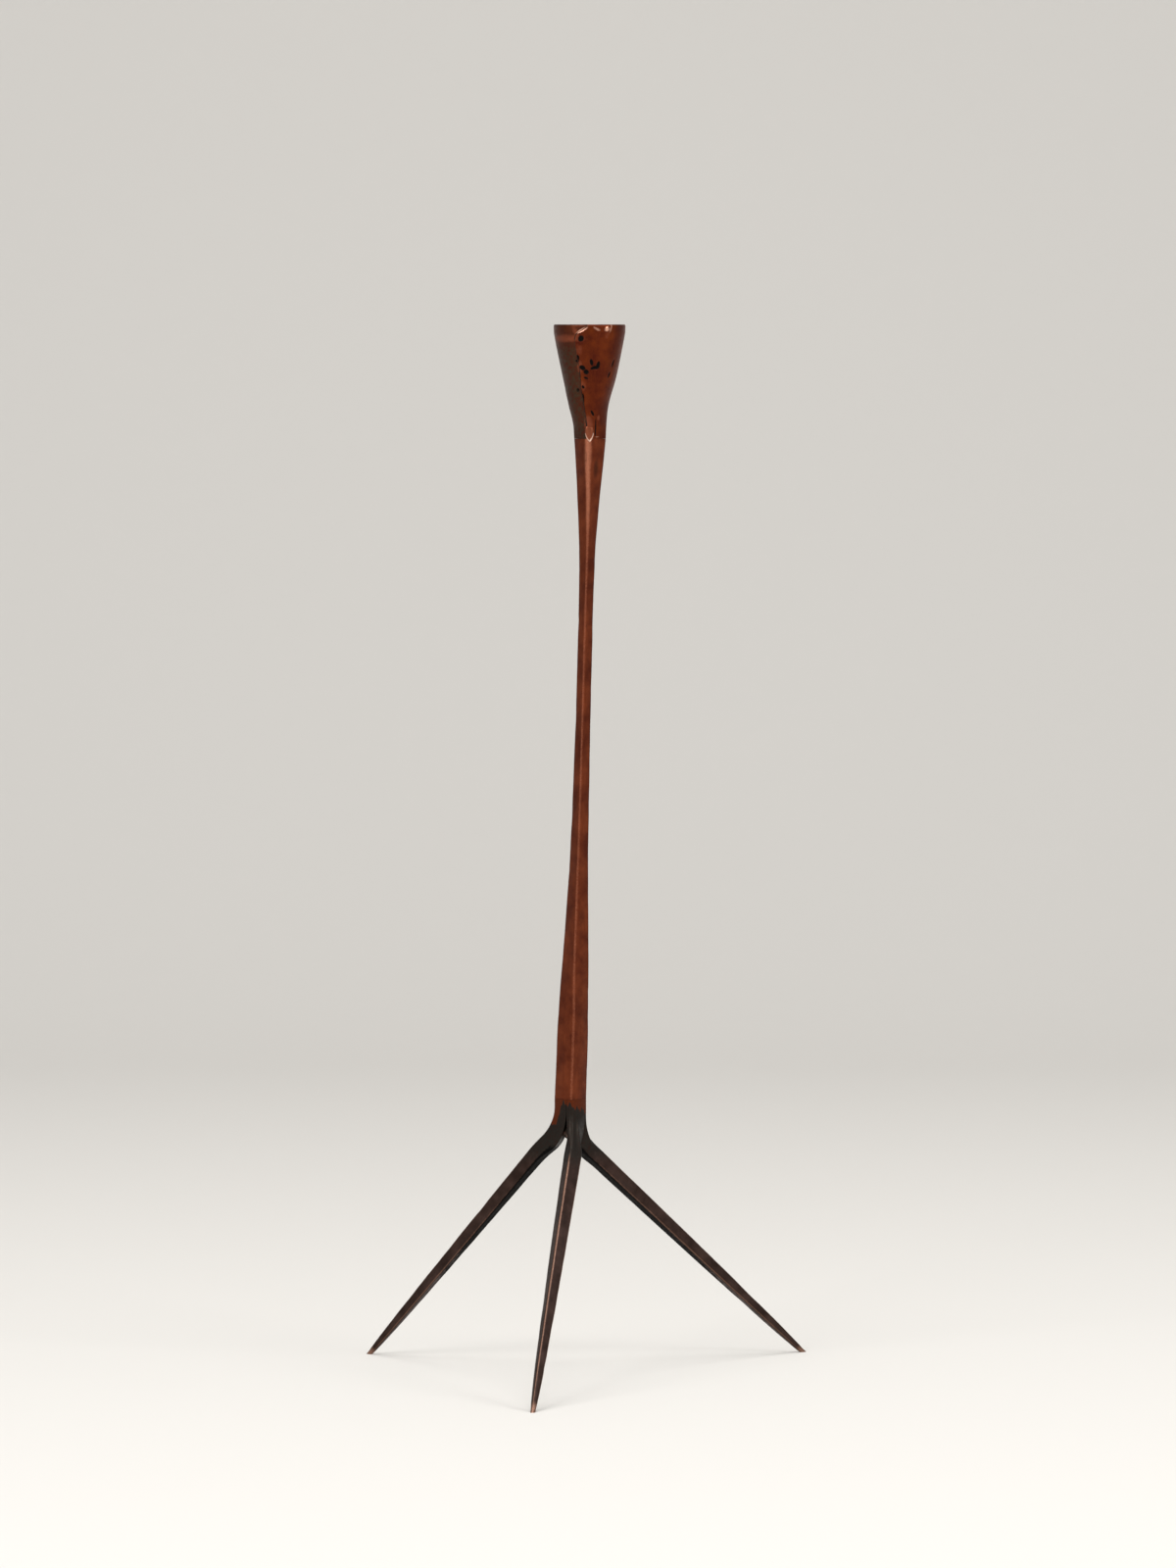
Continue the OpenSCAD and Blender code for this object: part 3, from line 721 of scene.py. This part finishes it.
@dataclass(frozen=True)
class Leg:
    """A square bar: its head fills its share of the bundle, then it is bent out and drawn to a point."""

    name: str
    node: str
    reach: float
    bearing: float
    drop: float
    roll: float
    first_face: float
    last_face: float
    seed: int
    arris_wear_and_highlight: float = 0.5
    bar_w: float = 7.5
    toe_w: float = 1.6
    taper: float = 0.45
    arris: float = 1.0
    head_len: float = 6.0
    draw_len: float = 26.0
    bend_r: float = 27.0
    root_r: float = 5.0
    film: float = 0.1
    around: int = 144
    rings: int = 260
    dense_len: float = 40.0
    crowd: float = 0.75
    soft: float = 0.45
    swell: float = 1.6
    swell_at: float = 19.0
    swell_len: float = 9.0

    @property
    def foot(self) -> np.ndarray:
        """Place of the foot on the floor about the stem's foot."""
        return self.reach * unit(self.bearing)

    @property
    def root(self) -> np.ndarray:
        """Place of the centre line in the bundle."""
        return self.root_r * unit((self.first_face + self.last_face) / 2)

    @property
    def heading(self) -> float:
        """Bearing of the foot from the root."""
        way = self.foot - self.root
        return float(np.degrees(np.arctan2(way[1], way[0])))

    @property
    def top_z(self) -> float:
        """Height of the head's top, under the braze film."""
        return BODY.foot_z - self.film

    @property
    def bend(self) -> float:
        """Turn of the bend in radians, such that the straight part below it ends at the foot."""
        run = float(np.linalg.norm(self.foot - self.root)) - self.bend_r
        fall = self.top_z - self.drop
        return float(np.arctan2(run, fall) + np.arcsin(self.bend_r / np.hypot(run, fall)))

    @property
    def length(self) -> float:
        """Length of the centre line."""
        straight = (self.top_z - self.drop - self.bend_r * np.sin(self.bend)) / np.cos(self.bend)
        return float(self.drop + self.bend_r * self.bend + straight)

    def path(self, s: np.ndarray) -> tuple:
        """Distance from the root, height, and angle from upright, at distance s along the centre line.

        Args:
            s: distances along the centre line.

        Returns:
            The three values, with the angle in radians.
        """
        angle = np.clip((s - self.drop) / self.bend_r, 0.0, self.bend)
        past = np.maximum(s - self.drop - self.bend_r * self.bend, 0.0)
        out = self.bend_r * (1 - np.cos(angle)) + past * np.sin(angle)
        z = self.top_z - np.minimum(s, self.drop) - self.bend_r * np.sin(angle) - past * np.cos(angle)
        return out, z, angle

    def head_radius(self, towards: np.ndarray) -> np.ndarray:
        """Radius of the head's section about the root, towards bearings in degrees.

        The least of the distances to the joint faces and to the bundle's outline, which is halved in on.

        Args:
            towards: bearings.

        Returns:
            The radii.
        """
        ways = np.stack([np.cos(np.radians(towards)), np.sin(np.radians(towards))], -1)
        low, high = np.zeros(towards.shape), np.full(towards.shape, 3 * self.root_r)
        for _ in range(30):
            middle = (low + high) / 2
            spot = self.root + ways * middle[..., None]
            inside = np.hypot(spot[..., 0], spot[..., 1]) < BODY.radius(
                np.full(towards.shape, BODY.foot_z), np.degrees(np.arctan2(spot[..., 1], spot[..., 0])))
            low, high = np.where(inside, middle, low), np.where(inside, high, middle)
        radius = low
        for face in (unit(self.first_face + 90), unit(self.last_face - 90)):
            nearing = -(ways @ face)
            room = self.root @ face - self.film / 2
            reach = np.where(nearing > 1e-6, room / np.maximum(nearing, 1e-6), 1e3)
            radius = smooth_least(radius, reach, self.soft)
        return radius

    def bar_radius(self, s: np.ndarray, corner: np.ndarray) -> np.ndarray:
        """Radius of the bar's section at the distance s, at bearings from its first arris.

        Args:
            s: distances along the leg.
            corner: bearings from the first arris.

        Returns:
            The radii.
        """
        side = mix(self.toe_w, self.bar_w, np.maximum(1 - s / self.length, 0.0) ** self.taper)
        flat = np.minimum(self.arris, side / 3)
        half = side / np.sqrt(2) - flat / 2
        return four_sided(corner, half, flat, self.soft)

    def surface(self) -> tuple:
        """The leg's points, its marks and its straightened points."""
        near = np.linspace(0.0, self.dense_len, self.rings // 2, endpoint=False)
        spread = np.sin(np.linspace(0.0, np.pi / 2, self.rings // 2)) ** 0.9
        far = self.dense_len + (self.length - self.toe_w - self.dense_len) * spread
        s = np.concatenate([near, far])[:, None]
        drawn = ease((s - self.head_len) / self.draw_len)
        corner = crowded(self.around, self.crowd)[None, :]
        around = corner + 45.0 + self.roll * drawn
        head = self.head_radius(self.heading + around[0])[None, :]
        radius = mix(head, self.bar_radius(s, corner), drawn)
        dents = hammered(self.seed, 70, self.length, 2.6, 0.10, s, corner, radius)
        radius = radius - dents * ease((s - 4.0) / 8.0) * ease((self.length - s) / 30.0)
        out = radius * np.cos(np.radians(around))
        side = radius * np.sin(np.radians(around))
        under = np.clip(-out / self.bar_w * 2, 0.0, 1.0)
        out = out - self.swell * under * bell(s - self.swell_at, self.swell_len)
        path_out, path_z, angle = self.path(s)
        ways = unit(self.heading), unit(self.heading + 90)
        level = path_out + out * np.cos(angle)
        flat = self.root + level[..., None] * ways[0] + side[..., None] * ways[1]
        for face in (unit(self.first_face + 90), unit(self.last_face - 90)):
            past = np.maximum(self.film / 2 - flat @ face, 0.0)
            flat = flat + past[..., None] * face
        z = path_z + out * np.sin(angle)
        grid = np.concatenate([flat, z[..., None]], -1)
        foot = grid[-1] + np.append(ways[0] * np.tan(self.bend), 0.0) * grid[-1][:, 2:]
        foot[:, 2] = 0.0
        below = np.minimum(grid[..., 2], 0.0)
        grid[..., :2] += below[..., None] * np.tan(self.bend) * ways[0]
        grid[..., 2] -= below
        grid = np.concatenate([grid, foot[None]])
        s = np.concatenate([s, [[self.length]]])
        straight = np.stack(np.broadcast_arrays(
            np.concatenate([out, out[-1:]]), np.concatenate([side, side[-1:]]), s), -1)
        return grid, self.marks(s, corner, grid, under), straight

    def marks(self, s: np.ndarray, corner: np.ndarray, grid: np.ndarray, under: np.ndarray) -> dict:
        """The leg's marks.

        The stem's patina runs down over the head and ends in a jagged line, the underside is painted black as
        shade, and the arrises and the toe are rubbed bright, the front leg's more so as a painted highlight.

        Args:
            s: distances along the leg.
            corner: bearings from the first arris.
            grid: the leg's points.
            under: how far each point lies towards the underside, from 0 to 1.

        Returns:
            The sheet of marks.
        """
        marks = no_marks(grid.shape[:2])
        from_stem = np.hypot(grid[..., 0], grid[..., 1])
        bearing = np.degrees(np.arctan2(grid[..., 1], grid[..., 0])) % TURN
        jag = 0.9 * np.sin(np.radians(bearing * 11)) + 0.6 * np.sin(np.radians(bearing * 23 + 40))
        end_z = curve(((150.0, 124.0), (200.0, 120.0), (222.0, 129.0), (255.0, 129.8), (300.0, 127.5),
                       (345.0, 126.5), (360.0, 125.0)), bearing) + jag
        marks[Mark.GLOW] = ease((grid[..., 2] - end_z + 0.5) / 1.0) * (from_stem < 9.0)
        # Painted shade: the underside past the bend is near black.
        toes = np.concatenate([under, under[-1:]])
        marks[Mark.PIT] = 0.9 * ease((toes - 0.5) / 0.35) * ease((s - 17.0) / 9.0)
        # Arrises rubbed bright towards the toe; the front leg's larger share is a painted highlight.
        off = np.abs(wrapped(4 * corner)) / 4
        rub_and_highlight = self.arris_wear_and_highlight * ease((s - 26.0) / 14.0)
        marks[Mark.BRIGHT] = bell(off, 7.0) * rub_and_highlight * (1 - marks[Mark.PIT])
        marks[Mark.BRIGHT] = np.maximum(marks[Mark.BRIGHT], ease((s - self.length + 7.0) / 6.0) * 0.8)
        marks[Mark.SOOT] = ease((grid[..., 2] - 96.0) / 12.0) * (1 - marks[Mark.GLOW]) * 0.8
        return marks

    def build(self, finish: bpy.types.Material) -> bpy.types.Object:
        """Makes the leg.

        Args:
            finish: its material.

        Returns:
            The leg.
        """
        grid, marks, straight = self.surface()
        skin = Skin()
        skin.add(grid, marks, straight, inward=True)
        return skin.make(self.name, self.node, "leg_copper", finish)


LEFT_LEG = Leg("drawn_left_leg", "left_leg", 115.5, 148.0, 3.0, -4.0, 105.0, 252.0, seed=21)
# The front leg's arrises are brighter: wear and a painted highlight.
FRONT_LEG = Leg("drawn_front_leg", "front_leg", 122.5, 262.0, 5.0, 36.0, 252.0, 356.0, seed=22, arris_wear_and_highlight=0.8)
RIGHT_LEG = Leg("drawn_right_leg", "right_leg", 132.0, 31.0, 8.0, 9.0, -4.0, 105.0, seed=23)
FEET = np.stack([LEFT_LEG.foot, FRONT_LEG.foot, RIGHT_LEG.foot])
ROW_SHIFT = -(FEET.min(axis=0) + FEET.max(axis=0)) / 2


def arc(first: np.ndarray, middle: np.ndarray, last: np.ndarray, count: int) -> np.ndarray:
    """Curves of count points from first to last, drawn towards middle by the quadratic's weights.

    Args:
        first: first point of each curve.
        middle: point that it is drawn towards.
        last: last point of each curve.
        count: how many points a curve has.

    Returns:
        The points of each curve.
    """
    u = np.linspace(0.0, 1.0, count)[None, :, None]
    return (1 - u) ** 2 * first[:, None] + 2 * u * (1 - u) * middle[:, None] + u**2 * last[:, None]


@dataclass(frozen=True)
class HubBraze:
    """Braze in the crotches between the legs: hollow-faced webs that arch up in the middle."""

    legs: tuple
    start: float = 5.0
    height: float = 14.0
    arch: float = 5.0
    hollow: float = 0.55
    rings: int = 30
    across: int = 21

    def side(self, leg: Leg, s: np.ndarray, last: bool, share: np.ndarray) -> np.ndarray:
        """Points on a leg's side face, at a share of the way from its inner to its outer corner.

        Args:
            leg: the leg.
            s: distances along it.
            last: True for its last joint face, False for its first.
            share: share of the way outwards at each distance.

        Returns:
            The points.
        """
        path_out, path_z, angle = leg.path(s)
        face = leg.last_face if last else leg.first_face
        inner = 3.0
        reach = inner + share * (BODY.radius(np.array(BODY.foot_z), np.array(face)) - inner - 0.5)
        level = reach[..., None] * unit(face)
        shift = path_out[..., None] * unit(leg.heading)
        drawn = ease((s - leg.head_len) / leg.draw_len)[..., None]
        side = unit(leg.heading + 90) * (leg.bar_w / 2 - 0.3) * (1 if last else -1)
        across = (share[..., None] - 0.5) * (leg.bar_w - 1.0)
        outwards = unit(leg.heading) * (across * np.cos(angle)[..., None])
        bar = leg.root + side + outwards
        flat = mix(level, bar, drawn) + shift
        z = path_z + (share - 0.5) * (leg.bar_w - 1.0) * np.sin(angle) * drawn[..., 0]
        return np.concatenate([flat, z[..., None]], -1)

    def web(self, skin: Skin, leg: Leg, other: Leg) -> None:
        """Adds one web: each ring runs from the inner corner of one leg to the other leg and back.

        Args:
            skin: the skin that it is added to.
            leg: the leg whose last face it starts at.
            other: the leg whose first face it ends at.
        """
        t = np.linspace(0.0, 1.0, self.rings)
        s = self.start + self.height * t
        share = mix(1.0, 0.3, np.sin(np.pi / 2 * t))
        outer = self.side(leg, s, True, share), self.side(other, s, False, share)
        inner = self.side(leg, s, True, 0 * share), self.side(other, s, False, 0 * share)
        lift = np.stack([0 * t, 0 * t, self.arch * t**2], -1)
        middle = mix((outer[0] + outer[1]) / 2, (inner[0] + inner[1]) / 2, self.hollow) + lift
        root = (inner[0] + inner[1]) / 2 + lift
        grid = np.concatenate([arc(outer[0], middle, outer[1], self.across),
                               arc(inner[1], root, inner[0], self.across)], axis=1)
        marks = no_marks(grid.shape[:2])
        marks[Mark.SOOT] += 0.9
        skin.add(grid, marks, grid, inward=True)

    def build(self, finish: bpy.types.Material) -> bpy.types.Object:
        """Makes the webs as one piece.

        Args:
            finish: its material.

        Returns:
            The piece.
        """
        skin = Skin()
        for leg, other in zip(self.legs, self.legs[1:] + self.legs[:1]):
            self.web(skin, leg, other)
        return skin.make("hub_webs", "hub_braze", "braze_copper", finish, sharp=60.0)


# Finishes

def linear(hex_colour: str) -> tuple:
    """Linear colour, with alpha 1, of an sRGB hex value such as #8a4a22."""
    srgb = np.array([int(hex_colour[i:i + 2], 16) for i in (1, 3, 5)]) / 255
    light = np.where(srgb <= 0.04045, srgb / 12.92, ((srgb + 0.055) / 1.055) ** 2.4)
    return (*light.tolist(), 1.0)


def per_metre(size_mm: float) -> float:
    """Scale of a noise whose blotches are to be about size_mm wide."""
    return 1.0 / (size_mm * MM)


def add(tree: bpy.types.NodeTree, kind: str, settings: dict | None = None,
        inputs: dict | None = None) -> bpy.types.Node:
    """Adds a node with its settings, values and links.

    Args:
        tree: the node tree.
        kind: the node's type.
        settings: the node's own settings by name.
        inputs: for each input, by name or number, its value or the output that is linked to it.

    Returns:
        The node.
    """
    node = tree.nodes.new(kind)
    for key, value in (settings or {}).items():
        setattr(node, key, value)
    for key, value in (inputs or {}).items():
        if isinstance(value, bpy.types.NodeSocket):
            tree.links.new(value, node.inputs[key])
        else:
            node.inputs[key].default_value = value
    return node


@dataclass(frozen=True)
class Copper:
    """Copper with a grown patina: what each tone is, and how the surface was left. Its darkest and palest
    tones also paint shade and highlights.
    """

    name: str
    dark: str
    light: str
    streak: str
    soot: str = "#332a1f"
    blush: str = "#7d4029"
    glow: str = "#5a2409"
    pit: str = "#0c0704"
    bright: str = "#d9a48c"
    roughness: float = 0.42
    metallic: float = 0.85
    blotch_mm: float = 9.0
    streak_mm: float = 1.3
    grain_mm: float = 0.55
    edge_mm: float = 1.6
    relief_mm: float = 0.05

    def layer(self, tree: bpy.types.NodeTree, below: "bpy.types.NodeSocket | tuple", above: tuple,
              noise: bpy.types.NodeSocket, low: float, high: float,
              most: float = 1.0) -> bpy.types.NodeSocket:
        """Lays a tone over a colour, from nothing where a noise is low to most where it is high.

        Args:
            tree: the node tree.
            below: the colour below.
            above: the tone.
            noise: the noise's output.
            low: value from which the share rises.
            high: value from which it is full.
            most: the greatest share.

        Returns:
            The mixed colour's output.
        """
        share = add(tree, "ShaderNodeMapRange", None,
                    {"Value": noise, "From Min": low, "From Max": high, "To Max": most}).outputs["Result"]
        return add(tree, "ShaderNodeMix", {"data_type": "RGBA"}, {0: share, 6: below, 7: above}).outputs[2]

    def ragged(self, tree: bpy.types.NodeTree, mark: Mark, noise: bpy.types.NodeSocket, spread: float,
               low: float, high: float) -> bpy.types.NodeSocket:
        """A mark's share, from 0 at low to 1 at high, with its edge broken up by a noise.

        The noise's swing about its middle, times spread, is added where the mark has begun.

        Args:
            tree: the node tree.
            mark: the mark.
            noise: the noise's output.
            spread: how far the noise moves the edge.
            low: value from which the share rises.
            high: value from which it is full.

        Returns:
            The share's output.
        """
        share = add(tree, "ShaderNodeAttribute", {"attribute_name": mark.value}).outputs["Fac"]
        begun = add(tree, "ShaderNodeMapRange", None, {"Value": share, "From Min": 0.02, "From Max": 0.25})
        swing = add(tree, "ShaderNodeMath", {"operation": "MULTIPLY_ADD"},
                    {0: noise, 1: spread, 2: -spread / 2})
        total = add(tree, "ShaderNodeMath", {"operation": "MULTIPLY_ADD"},
                    {0: swing.outputs[0], 1: begun.outputs["Result"], 2: share})
        return add(tree, "ShaderNodeMapRange", None,
                   {"Value": total.outputs[0], "From Min": low, "From Max": high}).outputs["Result"]

    def make(self) -> bpy.types.Material:
        """Makes the material."""
        material = bpy.data.materials.new(self.name)
        material.use_nodes = True
        tree = material.node_tree
        tree.nodes.clear()
        places = add(tree, "ShaderNodeAttribute", {"attribute_name": STRAIGHT}).outputs["Vector"]
        long = add(tree, "ShaderNodeMapping", None, {"Vector": places, "Scale": (1.0, 1.0, 0.1)}).outputs[0]
        patterns = ((places, self.blotch_mm, 5.0), (long, self.streak_mm, 4.0),
                    (places, self.grain_mm, 2.0), (places, self.edge_mm, 4.0))
        blotch, streak, grain, edge = (
            add(tree, "ShaderNodeTexNoise", None, {"Vector": where, "Scale": per_metre(size_mm),
                                                   "Detail": detail, "Roughness": 0.6}).outputs["Fac"]
            for where, size_mm, detail in patterns)

        colour = self.layer(tree, linear(self.dark), linear(self.light), blotch, 0.36, 0.64)
        colour = self.layer(tree, colour, linear(self.streak), streak, 0.5, 0.75, 0.75)
        masks = {
            Mark.GLOW: self.ragged(tree, Mark.GLOW, edge, 0.7, 0.4, 0.6),
            Mark.SOOT: self.ragged(tree, Mark.SOOT, edge, 1.0, 0.2, 0.8),
            Mark.BLUSH: self.ragged(tree, Mark.BLUSH, edge, 0.9, 0.2, 0.9),
            Mark.PIT: self.ragged(tree, Mark.PIT, edge, 0.7, 0.25, 0.6),
            Mark.BRIGHT: self.ragged(tree, Mark.BRIGHT, grain, 0.6, 0.15, 0.85)}
        tones = {
            Mark.GLOW: linear(self.glow),
            Mark.SOOT: self.layer(tree, linear(self.soot), linear(self.dark), edge, 0.35, 0.7),
            Mark.BLUSH: linear(self.blush), Mark.PIT: linear(self.pit), Mark.BRIGHT: linear(self.bright)}
        for mark, mask in masks.items():
            colour = add(tree, "ShaderNodeMix", {"data_type": "RGBA"},
                         {0: mask, 6: colour, 7: tones[mark]}).outputs[2]

        rough = add(tree, "ShaderNodeMapRange", None, {
            "Value": edge, "From Min": 0.3, "From Max": 0.7, "To Min": self.roughness - 0.08,
            "To Max": self.roughness + 0.1}).outputs["Result"]
        duller = add(tree, "ShaderNodeMath", {"operation": "MULTIPLY_ADD"},
                     {0: masks[Mark.PIT], 1: 0.35, 2: rough})
        sleeker = add(tree, "ShaderNodeMath", {"operation": "MULTIPLY_ADD", "use_clamp": True},
                      {0: masks[Mark.BRIGHT], 1: -0.12, 2: duller.outputs[0]})
        relief = add(tree, "ShaderNodeMath", {"operation": "MULTIPLY_ADD"}, {0: grain, 1: 0.4, 2: edge})
        bump = add(tree, "ShaderNodeBump", None, {"Strength": 0.35, "Distance": self.relief_mm * MM,
                                                  "Height": relief.outputs[0]})
        shader = add(tree, "ShaderNodeBsdfPrincipled", None, {
            "Base Color": colour, "Metallic": self.metallic, "Roughness": sleeker.outputs[0],
            "Normal": bump.outputs["Normal"]})
        add(tree, "ShaderNodeOutputMaterial", None, {"Surface": shader.outputs["BSDF"]})
        return material


# Rolled copper sheet, waxed: an orange-brown patina, darker round the left of the lap; its palest tone paints
# the highlights at the rim
SHEET_COPPER = Copper("rolled_copper_patina", dark="#4c1502", light="#6a2a06", streak="#5d2207",
                      soot="#3d3021", blush="#7a3d27")
# Forged copper bar: the same patina, redder, drawn into streaks along the bar; its dark tone also paints
# shade on the side arrises
BAR_COPPER = Copper("forged_copper_patina", dark="#531e0a", light="#74351a", streak="#5f2409", soot="#2c1609",
                    blush="#8a4c33", bright="#b97458")
# Fired copper bar: dark brown-grey scale, rubbed lighter on the arrises, with a painted highlight on the
# front leg's; its near-black tone paints the shade under the legs
FIRED_COPPER = Copper("fired_copper_scale", dark="#2a1b15", light="#42302a", streak="#2f2420", soot="#20211d",
                      blush="#5b2a17", bright="#8d6a59", pit="#070504", roughness=0.45)
# Copper braze, smooth and glossy where it ran; its palest tone paints the highlight on the drop's rim
BRAZE = Copper("copper_braze", dark="#3a1d12", light="#54301f", streak="#43261a", soot="#24241f",
               blush="#84472f", bright="#f0c8b4", roughness=0.34, blotch_mm=4.0)


# Stage, light and camera

@dataclass(frozen=True)
class Stage:
    """A plain pale floor that sweeps up into a plain pale backdrop."""

    colour: str = "#d8d5d0"
    half_width: float = 4.0
    front: float = -3.0
    back: float = 2.6
    sweep: float = 1.2
    top: float = 4.0

    def build(self) -> bpy.types.Object:
        """Makes the sweep: a profile of floor, quarter circle and wall, carried sideways."""
        turn = np.linspace(0.0, np.pi / 2, 24)
        y = np.concatenate([[self.front], self.back - self.sweep + self.sweep * np.sin(turn), [self.back]])
        z = np.concatenate([[0.0], self.sweep - self.sweep * np.cos(turn), [self.top]])
        x = np.array([-self.half_width, self.half_width])
        grid = np.stack(np.broadcast_arrays(x[None, :], y[:, None], z[:, None]), -1)
        row = np.arange(len(y) - 1) * 2
        faces = np.stack([row, row + 1, row + 3, row + 2], -1)
        mesh = bpy.data.meshes.new("studio_sweep")
        mesh.from_pydata(grid.reshape(-1, 3).tolist(), [], faces.tolist())
        mesh.shade_smooth()
        paper = bpy.data.materials.new("matt_paper")
        paper.use_nodes = True
        shader = paper.node_tree.nodes["Principled BSDF"]
        shader.inputs["Base Color"].default_value = linear(self.colour)
        shader.inputs["Roughness"].default_value = 0.95
        shader.inputs["Specular IOR Level"].default_value = 0.1
        mesh.materials.append(paper)
        sweep = bpy.data.objects.new("studio_sweep", mesh)
        bpy.context.collection.objects.link(sweep)
        return sweep


@dataclass(frozen=True)
class Lamp:
    """A soft square lamp that is aimed at the middle of the object."""

    name: str
    place: tuple
    size: float
    power: float
    aim: tuple = (0.0, 0.0, 0.25)

    def build(self) -> bpy.types.Object:
        """Makes the lamp."""
        data = bpy.data.lights.new(self.name, "AREA")
        data.shape = "SQUARE"
        data.size = self.size
        data.energy = self.power
        lamp = bpy.data.objects.new(self.name, data)
        bpy.context.collection.objects.link(lamp)
        lamp.location = self.place
        way = np.array(self.place) - np.array(self.aim)
        lamp.rotation_euler = (np.arctan2(np.hypot(way[0], way[1]), way[2]), 0.0, np.arctan2(way[0], -way[1]))
        return lamp


LAMPS = (
    Lamp("softbox_left", (-1.5, -1.7, 1.7), 1.4, 42.0),
    Lamp("softbox_right", (1.7, -1.2, 1.3), 1.0, 22.0),
    Lamp("softbox_top", (0.2, -0.2, 2.4), 1.6, 30.0))


@dataclass(frozen=True)
class Viewpoint:
    """The camera, level with the rim and far off, looking a little down along +Y."""

    distance: float = 3300.0
    height: float = 500.0
    aside: float = 8.4
    pitch: float = 3.779
    lens: float = 159.75
    sensor: float = 36.0

    def build(self) -> bpy.types.Object:
        """Makes the scene's camera."""
        data = bpy.data.cameras.new("camera")
        data.lens = self.lens
        data.sensor_width = self.sensor
        data.clip_start, data.clip_end = 0.05, 50.0
        camera = bpy.data.objects.new("camera", data)
        bpy.context.collection.objects.link(camera)
        stem = np.array(ROW_SHIFT)
        camera.location = ((stem[0] + self.aside) * MM, (stem[1] - self.distance) * MM, self.height * MM)
        camera.rotation_euler = (np.radians(90.0 - self.pitch), 0.0, 0.0)
        bpy.context.scene.camera = camera
        return camera


def light_world(colour: str = "#ffffff", strength: float = 0.45) -> None:
    """Gives the scene an even pale surrounding light."""
    world = bpy.data.worlds.new("even_light")
    world.use_nodes = True
    background = world.node_tree.nodes["Background"]
    background.inputs["Color"].default_value = linear(colour)
    background.inputs["Strength"].default_value = strength
    bpy.context.scene.world = world


def main() -> None:
    """Builds the stage, the camera and every piece in order."""
    logging.basicConfig(level=logging.INFO, format="%(name)s %(message)s")
    bpy.context.scene.view_settings.view_transform = "Standard"
    Viewpoint().build()
    Stage().build()
    light_world()
    for lamp in LAMPS:
        lamp.build()
    cup = CandleCup()
    cup.build(SHEET_COPPER.make())
    braze = BRAZE.make()
    LapBraze(cup).build(braze)
    Stem().build(BAR_COPPER.make())
    fired = FIRED_COPPER.make()
    for leg in (LEFT_LEG, FRONT_LEG, RIGHT_LEG):
        leg.build(fired)
    HubBraze((LEFT_LEG, FRONT_LEG, RIGHT_LEG)).build(braze)


if __name__ == "__main__":
    main()
